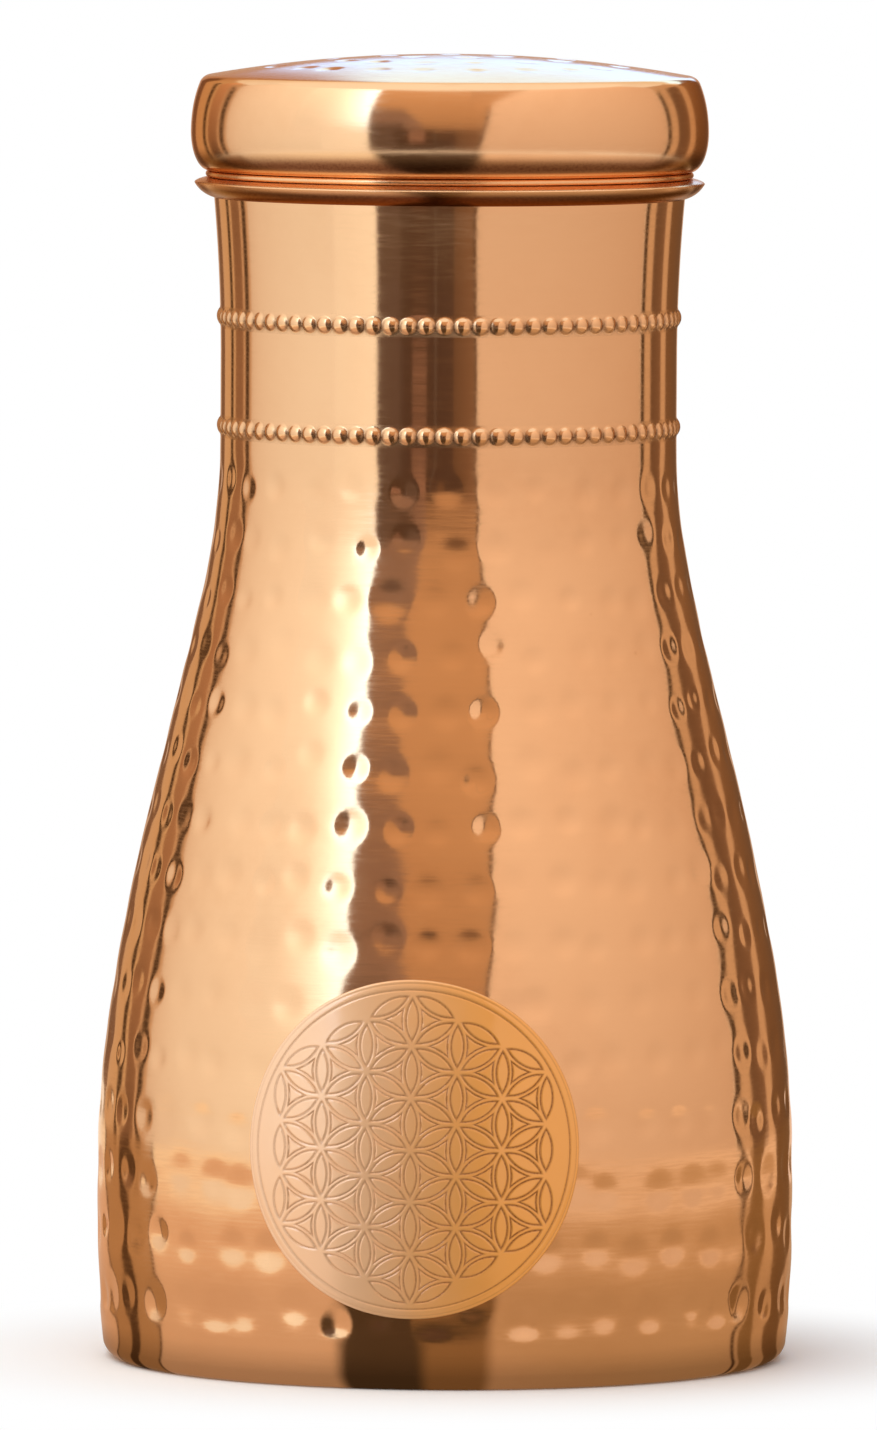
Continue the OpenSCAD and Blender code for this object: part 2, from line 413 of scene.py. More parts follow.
def wallSlope(height):
    return (wallRadius(height + slopeStep) - wallRadius(height - slopeStep)) / (2 * slopeStep)


def wallPath(low, high, step):
    heights = np.linspace(low, high, max(2, round((high - low) / step) + 1))
    return list(zip(wallRadius(heights).tolist(), heights.tolist()))


# Hammer marks: each is a round hollow with a wide faint dish about it

hammering = {
    "seed": 11,
    "rows": 15, "topRow": 142.0, "stepTop": 8.45, "stepLow": 10.3,
    "countTop": 30, "countGain": 2.0, "countMost": 46,
    "radiusTop": 2.9, "radiusLow": 3.4, "depth": 0.125, "depthGain": 0.09, "gainPower": 8,
    "dishDepth": 0.12, "dishGain": 0.12, "dishRadius": 4.1,
    "strayStart": 1.5, "strayTurn": 0.9, "strayHeight": 0.7, "straySize": 0.10, "strayDepth": 0.28,
    "underMedal": 0.6, "zoneLow": 7.0, "zoneHigh": 147.4, "fadeEnds": 2.5,
    "waveHeight": 0.035, "waves": 9, "waveTurns": (2, 11), "waveRise": (0.1, 0.35),
}
# how the sheet is meshed: rings of points about each mark, and rows of points between the marks
hammerMesh = {
    "rings": ((0.0, 1), (0.18, 6), (0.36, 10), (0.54, 14), (0.72, 16), (0.9, 18), (1.08, 18), (1.28, 16)),
    "clearFrom": 0.85, "clearShare": 0.98,
    "rowStep": 1.9, "pointStep": 2.2, "rowsLow": 1.6, "rowsHigh": 1.0, "keepOff": 1.45,
    "ends": 0.5, "layoutSteps": 600, "batch": 4000,
}
medalHeight = sum(nodeHeights("medallion")) / 2
medalRadius = 26.95
frontTurn = -math.pi / 2  # the medallion faces -Y


def wrapTurn(angle):
    return (angle + math.pi) % (2 * math.pi) - math.pi


def placeMarks():
    # rows of marks from the neck down, each row half a pitch off the last, none centred under the medallion
    s = named(hammering)
    dice = random.Random(s.seed)
    marks = []
    height = s.topRow
    for row in range(s.rows):
        share = row / (s.rows - 1)
        count = int(min(s.countMost, s.countTop + s.countGain * row))
        pitch = 2 * math.pi / count
        start = (row % 2) * pitch / 2 + math.radians(dice.uniform(-s.strayStart, s.strayStart))
        for k in range(count):
            turn = start + k * pitch + math.radians(dice.gauss(0, s.strayTurn))
            z = height + dice.gauss(0, s.strayHeight)
            size = s.radiusTop + (s.radiusLow - s.radiusTop) * share
            size *= 1 + dice.gauss(0, s.straySize)
            low = share**s.gainPower  # the lowest rows are struck deepest
            depth = (s.depth + s.depthGain * low) * (1 + dice.gauss(0, s.strayDepth))
            dish = s.dishDepth + s.dishGain * low
            across = float(wallRadius(z)) * wrapTurn(turn - frontTurn)
            if math.hypot(across, z - medalHeight) > medalRadius - s.underMedal:
                marks.append((turn, z, size, depth, dish))
        height -= s.stepTop + (s.stepLow - s.stepTop) * share
    return np.array(marks)


def markDistances(turns, heights, marks):
    radii = wallRadius(marks[:, 1])
    across = wrapTurn(turns[:, None] - marks[None, :, 0]) * radii
    up = (heights[:, None] - marks[None, :, 1]) * np.sqrt(1 + wallSlope(marks[:, 1])**2)
    return np.hypot(across, up)


def hammeredDepth(turns, heights, marks):
    s = named(hammering)
    made = np.zeros(len(turns))
    for first in range(0, len(turns), hammerMesh["batch"]):
        part = slice(first, first + hammerMesh["batch"])
        apart = markDistances(turns[part], heights[part], marks)
        inside = np.clip(1 - (apart / marks[:, 2])**2, 0, None)
        around = np.exp(-(apart / s.dishRadius)**2)
        made[part] = -(marks[:, 3] * inside**2 + marks[:, 4] * around).sum(1)
    dice = random.Random(s.seed + 1)
    for k in range(s.waves):  # slow waves in the sheet
        wavesRound, rise = dice.randint(*s.waveTurns), dice.uniform(*s.waveRise)
        made += s.waveHeight / math.sqrt(s.waves) * np.sin(
            wavesRound * turns + rise * heights + dice.uniform(0, 2 * math.pi))
    ends = smoothStep(s.zoneLow, s.zoneLow + s.fadeEnds, heights)
    ends *= 1 - smoothStep(s.zoneHigh - s.fadeEnds, s.zoneHigh, heights)
    return made * ends


def sheetSpots(marks):
    # turns and heights of the mesh points, fine in the marks and coarse between them
    m = named(hammerMesh)
    low, high = hammering["zoneLow"], hammering["zoneHigh"]
    turns, heights = [], []
    for index, (turn, z, size) in enumerate(marks[:, :3]):
        radius = float(wallRadius(z))
        lean = math.sqrt(1 + float(wallSlope(z))**2)
        others = np.delete(marks, index, 0)
        for share, count in m.rings:
            angles = evenTurns(count, 0.5 * (count % 4 == 2))
            ringTurn = turn + share * size * np.cos(angles) / radius
            ringHeight = z + share * size * np.sin(angles) / lean
            if share > m.clearFrom:
                apart = markDistances(ringTurn, ringHeight, others) / others[:, 2]
                clear = apart.min(1) > max(share, 1.0) * m.clearShare
                ringTurn, ringHeight = ringTurn[clear], ringHeight[clear]
            turns.append(ringTurn)
            heights.append(ringHeight)
    for row, z in enumerate(np.arange(low + m.rowsLow, high - m.rowsHigh, m.rowStep)):
        count = round(2 * math.pi * float(wallRadius(z)) / m.pointStep)
        ringTurn = evenTurns(count, 0.5 * (row % 2))
        ringHeight = np.full(count, z)
        clear = (markDistances(ringTurn, ringHeight, marks) / marks[:, 2]).min(1) > m.keepOff
        turns.append(ringTurn[clear])
        heights.append(ringHeight[clear])
    turns, heights = np.concatenate(turns), np.concatenate(heights)
    keep = (heights > low + m.ends) & (heights < high - m.ends)
    return turns[keep], heights[keep]


def hammerSheet(shape, lowRing, highRing):
    # fills the wall between two rings
    s = named(hammering)
    marks = placeMarks()
    turns, heights = sheetSpots(marks)
    out = hammeredDepth(turns, heights, marks)
    lean = np.arctan(-wallSlope(heights))
    spots = onCircle(wallRadius(heights) + out * np.cos(lean), turns)
    owners = [shape.addPoint((x, y, z)) for (x, y), z in zip(spots, heights + out * np.sin(lean))]
    # the wall is laid out flat as a ring, upper edge inside, so that no seam is needed
    levels = np.linspace(s.zoneLow, s.zoneHigh, hammerMesh["layoutSteps"])
    stretch = np.sqrt(1 + wallSlope(levels)**2) / wallRadius(levels)
    spread = np.concatenate(([0], np.cumsum((stretch[1:] + stretch[:-1]) / 2 * np.diff(levels))))
    flat = list(onCircle(np.exp(-np.interp(heights, levels, spread)), turns))
    for ring, level in ((lowRing, 1.0), (highRing, math.exp(-spread[-1]))):
        flat += list(onCircle(level, shape.angles))
        owners += ring
    shape.fillFlat([Vector(p) for p in flat], owners, 1e-9, skip=set(highRing))
    print("hammer marks:", len(marks))


hammeredLook = {
    "clean": (0.965, 0.605, 0.335, 1), "aged": (0.85, 0.47, 0.235, 1), "tarnish": 0.35, "specks": 0.5,
    "metal": 1.0, "edgeTint": (0.92, 0.80, 0.68, 1), "brushed": 0.78,
    "rough": 0.10, "roughAged": 0.04, "roughStreak": 0.04,
    "lineWidth": 0.0013, "chatter": 0.016, "lineDepth": 13e-6, "peelSize": 0.0011, "peelDepth": 1.6e-6,
    "lacquer": 0.0, "lacquerRough": 0.03, "lacquerIor": 1.5,
}
bodySizes = {"columns": 240, "cornerSteps": 14, "neckStep": 1.6, "footStep": 1.5, "insideStep": 3.5}


def makeBody():
    s = named(bodySizes)
    shape = Shape(s.columns)
    low, high = hammering["zoneLow"], hammering["zoneHigh"]
    corner = wall.footCorner
    foot = [(footFlat - wall.footCurl, 0.0)]
    foot += arcPoints((footFlat, corner), corner, -90, -wall.footLean, s.cornerSteps)
    foot += wallPath(footTop, low, s.footStep)[1:]
    neck = wallPath(high, rimLow, s.neckStep) + [(mouthRadius, neckTop)]
    belly = wallPath(low, high, s.insideStep)
    inside = movedLeft(foot + belly[1:-1] + neck, sheet)[::-1]
    lowRing = shape.turn(foot)
    highRing = shape.addRing(*neck[0])
    hammerSheet(shape, lowRing, highRing)
    top = shape.turn(neck[1:], highRing)
    shape.closeLoop(shape.turn(inside, top))
    makePiece("hammered_wall", shape, copperFinish("hammeredCopper", hammeredLook),
              "jug", "body_shell")


makeBody()


# Mouth rim, a turned ring

polishedLook = dict(
    hammeredLook, tarnish=0.3, specks=0.3, edgeTint=(0.80, 0.56, 0.40, 1), brushed=0.75,
    rough=0.12, roughAged=0.06, lineWidth=0.0010, chatter=0.012, lineDepth=7e-6, peelSize=0.0010,
    peelDepth=1.2e-6)
turnedLook = dict(polishedLook, rough=0.24, lineDepth=4e-6)
# darker brown under the rim's nose and on the lid drum's underside, where a painted layer marks
undersideDark = {"layer": "darkBelow", "colour": (0.18, 0.072, 0.034, 1), "rough": 0.22, "least": 0.9}
polishedCopper = copperFinish("polishedCopper", polishedLook, undersideDark)
turnedCopper = copperFinish("turnedCopper", turnedLook, undersideDark)
rimSizes = {
    "columns": 240, "steps": 14, "nose": 2.4, "seat": 1.4, "lap": 0.7, "solder": 0.05, "patinaFade": 1.0,
    "underCorner": (0.68, 0.25), "upperCorner": (0.06, 0.56),  # shares of each side's width and height
}


def between(a, b, share):
    return tuple(p + k * (q - p) for p, q, k in zip(a, b, share))


def makeRim():
    s = named(rimSizes)
    shape = Shape(s.columns)
    face = mouthRadius + s.solder
    inside = mouthRadius - sheet
    lapHeight = seatHeight - s.lap
    root = (face, rimLow)
    nose = (nodeRadius("mouth_rim"), rimLow + s.nose)
    seat = (mouthRadius + s.seat, seatHeight)
    path = bend(root, between(root, nose, s.underCorner), nose, s.steps, parabolaShare)
    path += bend(nose, between(nose, seat, s.upperCorner), seat, s.steps, parabolaShare)[1:]
    path += [(inside, seatHeight), (inside, lapHeight), (face, lapHeight)]
    shape.closeLoop(shape.turn(path))
    piece = makePiece("mouth_ring", shape, turnedCopper, "jug", "mouth_rim")
    # the rim is painted darker below its nose
    under = [1 - float(smoothStep(nose[1] - s.patinaFade, nose[1], z)) for r, z in path]
    paintPoints(piece, "darkBelow", np.repeat(under, s.columns))


makeRim()


# Bead bands: a thin strip with a row of round beads

beadLook = dict(
    polishedLook, aged=(0.72, 0.37, 0.17, 1), tarnish=0.35, specks=0.2, edgeTint=(0.90, 0.75, 0.60, 1),
    brushed=0.3, rough=0.13, roughAged=0.08, roughStreak=0.03, lineDepth=5e-6, peelDepth=2.0e-6)
# painted shade with dirt about the foot of each bead, where a painted layer marks
beadShadeDirt = {"layer": "crevice", "colour": (0.14, 0.055, 0.022, 1), "rough": 0.4, "metal": 0.8, "least": 0.7}
beadedCopper = copperFinish("beadedCopper", beadLook, beadShadeDirt)
beadSizes = {
    "count": 80, "perBead": 14, "rows": 28, "reach": 2.3, "sharpDeg": 75,
    "ridge": 0.12, "width": 2.72, "stand": 0.50, "roundness": 0.85, "sunk": 0.02, "back": 0.3,
    "dirtLow": -0.3, "dirtReach": 0.95, "dirtFrom": (0.6, 0.95), "dirtTo": (1.1, 1.6),
}


def makeBeads(name, node):
    # a low ridge that runs out into the neck, with the beads raised along it
    s = named(beadSizes)
    middle = sum(nodeHeights(node)) / 2
    shape = Shape(s.count * s.perBead)
    pitch = 2 * math.pi / s.count
    fromBead = (shape.angles / pitch + 0.5) % 1 - 0.5
    rings, marks = [], []
    for rise in np.linspace(-s.reach, s.reach, s.rows + 1):
        flank = float(wallRadius(middle + rise))
        apart = np.hypot(fromBead * pitch * flank, rise) / (s.width / 2)
        out = s.ridge * max(0.0, 1 - (rise / s.reach)**2)**2 - s.sunk
        out = out + s.stand * np.clip(1 - apart**2, 0, None)**s.roundness
        rings.append(shape.addRing(flank + out, middle + rise))
        # painted shade with dirt around each bead's foot and in the gaps, most just below the row's middle
        gap = smoothStep(*s.dirtFrom, apart) * (1 - smoothStep(*s.dirtTo, apart))
        marks.extend(gap * math.exp(-((rise - s.dirtLow) / s.dirtReach)**2))
    for rise in (s.reach, -s.reach):
        rings.append(shape.addRing(float(wallRadius(middle + rise)) - s.back, middle + rise))
        marks.extend([0.0] * shape.columns)
    for lower, upper in zip(rings, rings[1:] + rings[:1]):
        shape.bridge(lower, upper)
    piece = makePiece(name, shape, beadedCopper, "jug", node, s.sharpDeg)
    paintPoints(piece, "crevice", marks)


makeBeads("upper_beads", "upper_bead_band")
makeBeads("lower_beads", "lower_bead_band")


# Medallion: thin roundel bent to the belly, engraved with the overlapping-circles rosette

medalLook = dict(
    polishedLook, clean=(1.0, 0.62, 0.36, 1), aged=(1.0, 0.50, 0.18, 1), tarnish=0.6, specks=0.2,
    metal=0.38, edgeTint=(1.0, 0.90, 0.80, 1), brushed=0.2, rough=0.31, roughAged=0.07, roughStreak=0.03,
    lineWidth=0.0012, chatter=0.010, lineDepth=4e-6, peelSize=0.0008, peelDepth=3.0e-6,
    lacquer=1.0, lacquerRough=0.11, lacquerIor=1.75, rightShadeTone=(0.95, 0.40, 0.07, 1))
medalDirt = {"layer": "engraving", "colour": (0.20, 0.055, 0.010, 1), "rough": 0.6, "least": 0.7}
medalSizes = {
    "across": 1.012, "face": 0.42, "pitch": 8.23, "reach": 3, "sharpDeg": 60,
    "petalHalfLength": 3.25, "petalHalfWidth": 0.98, "petalSteps": 15,
    "triangleReach": 1.9, "triangleHollow": 0.16, "triangleSteps": 8,
    "grooveHalf": 0.24, "grooveDepth": 0.14, "grooveEdge": 0.15, "apron": 0.36,
    "sideReach": (-16.0, 18.0), "rubbed": 0.55,  # painted shade deepens to the right across this reach, and the engraving is painted paler at the lit left
    "backStep": 5.0, "backReach": 25.0, "backInset": 3.0,
    # border: how far in from the edge, height and how much darker it is painted there, patina in its grooves
    # and darkest at the outer edge where it meets the wall
    "ringSteps": 220,
    "border": ((1.98, 0.0, 0.0), (1.80, 0.0, 0.1), (1.62, -0.1, 0.8), (1.44, 0.0, 0.1), (1.25, 0.02, 0.0),
               (0.72, 0.03, 0.0), (0.55, -0.02, 0.3), (0.40, 0.03, 0.0), (0.15, 0.0, 0.0),
               (0.05, -0.12, 0.5), (0.0, -0.8, 0.9)),
}


def petalLoop(grow):
    # outline of one petal along +Y, grown by a distance
    s = named(medalSizes)
    arc = (s.petalHalfLength**2 + s.petalHalfWidth**2) / (2 * s.petalHalfWidth)
    off = arc - s.petalHalfWidth
    arc += grow
    half = math.asin(math.sqrt(arc**2 - off**2) / arc)
    side = [(x - off, y) for x, y in onCircle(arc, np.linspace(-half, half, s.petalSteps))[:-1]]
    return side + [(-x, -y) for x, y in side]


def triangleLoop(grow):
    # outline of one triangle with hollow sides, pointing along +X
    s = named(medalSizes)
    reach = s.triangleReach + 2 * grow
    corners = list(onCircle(reach, evenTurns(3)))
    made = []
    for (x0, y0), (x1, y1) in zip(corners, corners[1:] + corners[:1]):
        for t in np.arange(s.triangleSteps) / s.triangleSteps:
            pull = 1 - s.triangleHollow * 4 * t * (1 - t) / (reach / 2)
            made.append(((x0 + (x1 - x0) * t) * pull, (y0 + (y1 - y0) * t) * pull))
    return made


def rosetteLoops():
    # outlines with their heights and patina: petals and triangles between the hubs, and the border
    s = named(medalSizes)
    step, reach = s.pitch, s.reach
    hubs = {}
    for i in range(-reach, reach + 1):
        for j in range(max(-reach, -reach - i), min(reach, reach - i) + 1):
            hubs[i, j] = Vector((step * i * math.cos(math.pi / 6), step * (i / 2 + j)))
    half, edge, apron = s.grooveHalf, s.grooveEdge, s.apron
    cuts = ((apron, 0.0, 0.0), (half, 0.0, edge), (0.0, -s.grooveDepth, 1.0), (-half, 0.0, edge),
            (-apron, 0.0, 0.0))
    petals = [(petalLoop(grow), level, mark) for grow, level, mark in cuts]
    triangles = [(triangleLoop(grow), level, mark) for grow, level, mark in cuts]
    made = []

    def lay(loops, middle, ahead, aside):
        for loop, level, mark in loops:
            made.append(([middle + ahead * x + aside * y for x, y in loop], level, mark))

    for (i, j), hub in hubs.items():
        for di, dj in ((0, 1), (1, 0), (1, -1)):
            other = hubs.get((i + di, j + dj))
            if other is not None:
                along = (other - hub).normalized()
                lay(petals, (hub + other) / 2, Vector((along.y, -along.x)), along)
        for second, third in (((1, 0), (0, 1)), ((1, -1), (1, 0))):
            a, b = hubs.get((i + second[0], j + second[1])), hubs.get((i + third[0], j + third[1]))
            if a is not None and b is not None:
                middle = (hub + a + b) / 3
                point = (hub - middle).normalized()
                lay(triangles, middle, point, Vector((-point.y, point.x)))
    for inward, level, mark in s.border:
        made.append((onCircle(medalRadius - inward, evenTurns(s.ringSteps)), level, mark))
    return made


def onBelly(spot, level):
    z = medalHeight + spot[1]
    radius = float(wallRadius(z))
    turn = frontTurn + spot[0] * medalSizes["across"] / radius
    return ((radius + level) * math.cos(turn), (radius + level) * math.sin(turn), z)


def makeMedallion():
    s = named(medalSizes)
    shape = Shape()
    spots, levels, darkening, edges = [], [], [], []
    for loop, level, mark in rosetteLoops():
        first, count = len(spots), len(loop)
        spots.extend(Vector(p) for p in loop)
        levels.extend([level] * count)
        darkening.extend([mark] * count)
        edges.extend((first + i, first + (i + 1) % count) for i in range(count))
    found = geometry.delaunay_2d_cdt(spots, edges, [], 0, 1e-6)
    marks = []
    for spot, sources in zip(found[0], found[3]):
        level = levels[sources[0]] if sources else 0.0
        marks.append(darkening[sources[0]] if sources else 0.0)
        shape.addPoint(onBelly(spot, s.face + level))
    shape.faces += [tuple(f) for f in found[2]]
    # a coarse sheet closes the back
    firstEdge = len(spots) - s.ringSteps
    owner = {source: index for index, sources in enumerate(found[3]) for source in sources}
    owners = [owner[firstEdge + k] for k in range(s.ringSteps)]
    flat = spots[firstEdge:]
    backLevel = s.face + s.border[-1][1]
    steps = np.arange(-s.backReach, s.backReach + s.backStep / 2, s.backStep)
    for spot in (Vector((x, y)) for x in steps for y in steps):
        if spot.length < medalRadius - s.backInset:
            flat.append(spot)
            owners.append(shape.addPoint(onBelly(spot, backLevel)))
            marks.append(0.0)
    shape.fillFlat(flat, owners, 1e-6, flipped=True)
    piece = makePiece("rosette_roundel", shape, copperFinish("satinCopper", medalLook, medalDirt),
                      "jug", "medallion", s.sharpDeg)
    # painted shade: the tone deepens towards the medallion's right
    side = smoothStep(*s.sideReach, np.array([x for x, y, z in shape.points]))
    paintPoints(piece, "side", side)
    # painted light: the engraving is painted paler towards the lit left
    paintPoints(piece, "engraving", np.array(marks) * (1 - s.rubbed * (1 - side)))


makeMedallion()


# Lid: spun cap with a hammered top, and the sleeve with its rolled hem

lidLow, lidTop = nodeHeights("lid_cap")
sleeveLow, hemTop = nodeHeights("lid_sleeve")
hemRadius = nodeRadius("lid_sleeve")
drumRadius = nodeRadius("lid_cap")
lidSizes = {
    "columns": 240, "inset": 0.5, "lip": 1.6, "low": 6.2, "high": 9.0, "draw": 1.85, "corner": 1.0,
    "dome": 3.6, "drumSteps": 16, "cornerSteps": 8, "ceilingSteps": 14,
    "hem": 1.0, "hemSteps": 16, "clear": 0.4, "sleeveSteps": 12,
    "patinaTop": (1.8, 4.2), "patinaLow": (0.4, 1.3),
}
domeMarks = {
    "seed": 5, "ringStep": 9.4, "rings": 4, "ringCount": 7,
    "radius": 2.3, "depth": 0.17, "power": 1.5, "dishDepth": 0.03, "dishRadius": 3.2, "fade": (2.5, 0.3),
    "strayTurn": 0.03, "strayRadius": 0.35, "straySize": 0.08, "strayDepth": 0.2,
    "meshRings": ((0.0, 1), (0.25, 6), (0.5, 12), (0.72, 16), (0.92, 18), (1.12, 18), (1.4, 16)),
    "fillFrom": 2.0, "fillEnd": 0.8, "fillStep": 1.7, "pointStep": 1.9, "keepOff": 1.6, "ends": 0.5,
}


def domeHeight(radius, inset=0.0):
    s = named(lidSizes)
    topRadius = drumRadius - s.draw
    ball = (topRadius**2 + s.dome**2) / (2 * s.dome)
    return lidTop - ball + np.sqrt((ball - inset)**2 - np.asarray(radius, float)**2)


def capPath(inset):
    s = named(lidSizes)
    lipRadius = hemRadius - s.inset
    edgeRadius = drumRadius - s.draw - inset
    foot = (lipRadius, lidLow + inset)
    widest = (drumRadius - inset, lidLow + s.low)
    middle = (drumRadius - inset, lidLow + s.low + s.high / 2)
    edge = (edgeRadius, float(domeHeight(edgeRadius, inset)))
    away = Vector((middle[0] - edge[0], middle[1] - edge[1])).normalized() * s.corner
    below = (edge[0] + away.x, edge[1] + away.y)
    inner = (edgeRadius - s.corner, float(domeHeight(edgeRadius - s.corner, inset)))
    path = [(lipRadius - s.lip, lidLow + inset)]
    path += bend(foot, (widest[0], foot[1]), widest, s.drumSteps)
    path += bend(widest, middle, below, s.drumSteps, parabolaShare)[1:]
    path += bend(below, edge, inner, s.cornerSteps)[1:]
    return path


def hammerDome(shape, rim):
    # rings of small marks over the lid's top
    s = named(domeMarks)
    dice = random.Random(s.seed)
    marks = [(0.0, 0.0, s.radius, s.depth)]
    for ring in range(1, s.rings):
        count = s.ringCount * ring
        start = dice.uniform(0, 1)
        for k in range(count):
            turn = 2 * math.pi * (k + start) / count + dice.gauss(0, s.strayTurn)
            radius = s.ringStep * ring + dice.gauss(0, s.strayRadius)
            size = s.radius * (1 + dice.gauss(0, s.straySize))
            depth = s.depth * (1 + dice.gauss(0, s.strayDepth))
            marks.append((radius * math.cos(turn), radius * math.sin(turn), size, depth))
    marks = np.array(marks)

    def apartFrom(spots):
        return np.hypot(*(spots[:, None] - marks[None, :, :2]).transpose(2, 0, 1))

    spots = []
    for x, y, size in marks[:, :3]:
        for share, count in s.meshRings:
            spots.append(onCircle(share * size, evenTurns(count)) + (x, y))
    rimRadius = math.hypot(*shape.points[rim[0]][:2])
    for radius in np.arange(s.fillFrom, rimRadius - s.fillEnd, s.fillStep):
        ring = onCircle(radius, evenTurns(round(2 * math.pi * radius / s.pointStep), 0.5))
        spots.append(ring[(apartFrom(ring) / marks[:, 2]).min(1) > s.keepOff])
    spots = np.concatenate(spots)
    spots = spots[np.hypot(spots[:, 0], spots[:, 1]) < rimRadius - s.ends]
    apart = apartFrom(spots)
    out = -(marks[:, 3] * np.clip(1 - (apart / marks[:, 2])**2, 0, None)**s.power).sum(1)
    out -= s.dishDepth * np.exp(-(apart / s.dishRadius)**2).sum(1)
    radius = np.hypot(spots[:, 0], spots[:, 1])
    out *= 1 - smoothStep(rimRadius - s.fade[0], rimRadius - s.fade[1], radius)
    owners = [shape.addPoint(p) for p in zip(spots[:, 0], spots[:, 1], domeHeight(radius) + out)]
    flat = [Vector(p) for p in spots] + [Vector(shape.points[i][:2]) for i in rim]
    shape.fillFlat(flat, owners + rim, 1e-7)


def makeCap():
    s = named(lidSizes)
    shape = Shape(s.columns)
    hammerDome(shape, shape.turn(capPath(0.0)))
    inside = capPath(sheet)
    ceiling = np.linspace(0, inside[-1][0], s.ceilingSteps)[:-1]
    path = [(r, float(domeHeight(r, sheet))) for r in ceiling] + inside[::-1]
    shape.closeLoop(shape.turn(path))
    piece = makePiece("lid_drum", shape, polishedCopper, "lid", "lid_cap")
    rise = np.array([z for x, y, z in shape.points]) - lidLow
    # the drum is painted darker on its underside, near its lip
    edge = (1 - smoothStep(*s.patinaTop, rise)) * smoothStep(*s.patinaLow, rise)
    paintPoints(piece, "darkBelow", edge)


def makeSleeve():
    s = named(lidSizes)
    shape = Shape(s.columns)
    hemLow, hemHalf = hemTop - s.hem, s.hem / 2
    heights = np.linspace(sleeveLow, hemLow, s.sleeveSteps)
    outside = [(float(wallRadius(z)) - sheet - s.clear, float(z)) for z in heights]
    path = outside + arcPoints((hemRadius - hemHalf, hemLow + hemHalf), hemHalf, -90, 90, s.hemSteps)
    path += [(r - sheet, z) for r, z in [(outside[-1][0], hemTop)] + outside[::-1]]
    shape.closeLoop(shape.turn(path))
    makePiece("lid_collar", shape, turnedCopper, "lid", "lid_sleeve")


makeCap()
makeSleeve()


# Base plate and its solder keep their solids and get their finishes

baseLook = dict(
    polishedLook, clean=(0.82, 0.44, 0.24, 1), aged=(0.50, 0.23, 0.11, 1), tarnish=0.8, specks=0.9,
    edgeTint=(0.90, 0.80, 0.70, 1), brushed=0.5, rough=0.24, roughAged=0.15, roughStreak=0.06,
    lineWidth=0.0009, chatter=0.02, lineDepth=12e-6, peelSize=0.0012, peelDepth=4e-6)
solderLook = dict(baseLook, clean=(0.62, 0.60, 0.56, 1), aged=(0.38, 0.36, 0.33, 1), rough=0.42, brushed=0.0)
for node, name, look in (("base_plate", "plainCopper", baseLook), ("base_seal", "tinSolder", solderLook)):
    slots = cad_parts[node].data.materials
    slots.clear()
    slots.append(copperFinish(name, look))
print("base finished")


# Studio in metres: pale floor, white surround, one soft lamp and the cards that the copper mirrors

white = (1, 1, 1, 1)
studio = {
    "cameraTurn": 5.6, "cameraRoll": 0.27, "cameraAway": 2.75, "cameraHeight": 0.29,
    "lens": 429.0, "sensor": 36.0, "aimHeight": 0.104, "aimSide": -0.0014,
    "floorRadius": 3.0, "floorSteps": 96, "floorColour": (0.93, 0.925, 0.915, 1), "floorRough": 0.7,
    "floorShine": 0.2, "stain": (0.8, 0.78, 0.75, 1), "stainScale": 6.0, "stainDetail": 3.0,
    "stainRange": (0.3, 0.7, 0.0, 0.04), "shadowEnd": (0.056, 0.105),
    "ambient": 0.6, "lampPower": 28.0, "lampSize": 2.2, "lampPlace": (-0.6, -0.6, 1.9),
}
# a table painted into the floor that only reflections see, which the copper mirrors: tones on its left and
# right, and the distances where they change
table = {
    "top": ((0.74, 0.515, 0.38, 1), (0.545, 0.365, 0.225, 1)), "topEnd": (0.345, 0.36),
    "beyond": ((0.99, 0.89, 0.75, 1), (0.86, 0.655, 0.515, 1)), "beyondEnd": (0.55, 0.65),
    "middle": (-0.04, 0.04),
    # painted reflection of a dark shape in front of the jug and stripes at its sides, as turns on the foot
    "front": (0.085, 0.055, 0.032, 1), "frontTurns": (-17.7, 7.5), "soft": 1.6,
    "brown": (0.29, 0.17, 0.08, 1), "brownTurn": -3.5, "brownEnd": (0.16, 0.10),
    "sides": ((-78.5, -57.6, (0.10, 0.055, 0.028, 1)), (-77.6, -70.0, (0.45, 0.275, 0.15, 1)),
              (-66.0, -58.3, (0.45, 0.275, 0.15, 1)), (59.0, 60.2, (0.10, 0.055, 0.028, 1)),
              (61.6, 67.2, (0.26, 0.155, 0.07, 1)), (73.0, 84.0, (0.20, 0.115, 0.055, 1))),
    "sideSoft": 0.5,
    "nearShade": (0.055, 0.08, 0.58, 1.0), "shade": (0.09, 0.24, 0.90, 1.06),  # painted shade of the jug on the mirrored table: distances, then strengths
}
cardTones = {
    "white": white, "blush": (0.64, 0.47, 0.38, 1), "fill": (0.84, 0.665, 0.565, 1),
    "fillDeep": (0.70, 0.51, 0.40, 1), "brown": (0.50, 0.302, 0.175, 1), "haze": (0.24, 0.16, 0.13, 1),
    "dusk": (0.13, 0.09, 0.075, 1), "dark": (0.088, 0.052, 0.038, 1), "bark": (0.20, 0.115, 0.07, 1),
    "panel": (0.32, 0.19, 0.145, 1), "gold": (0.63, 0.43, 0.29, 1), "ash": (0.68, 0.48, 0.31, 1),
    "ink": (0.07, 0.04, 0.022, 1), "cool": (0.42, 0.66, 1.0, 1), "sky": (0.27, 0.53, 1.0, 1),
}
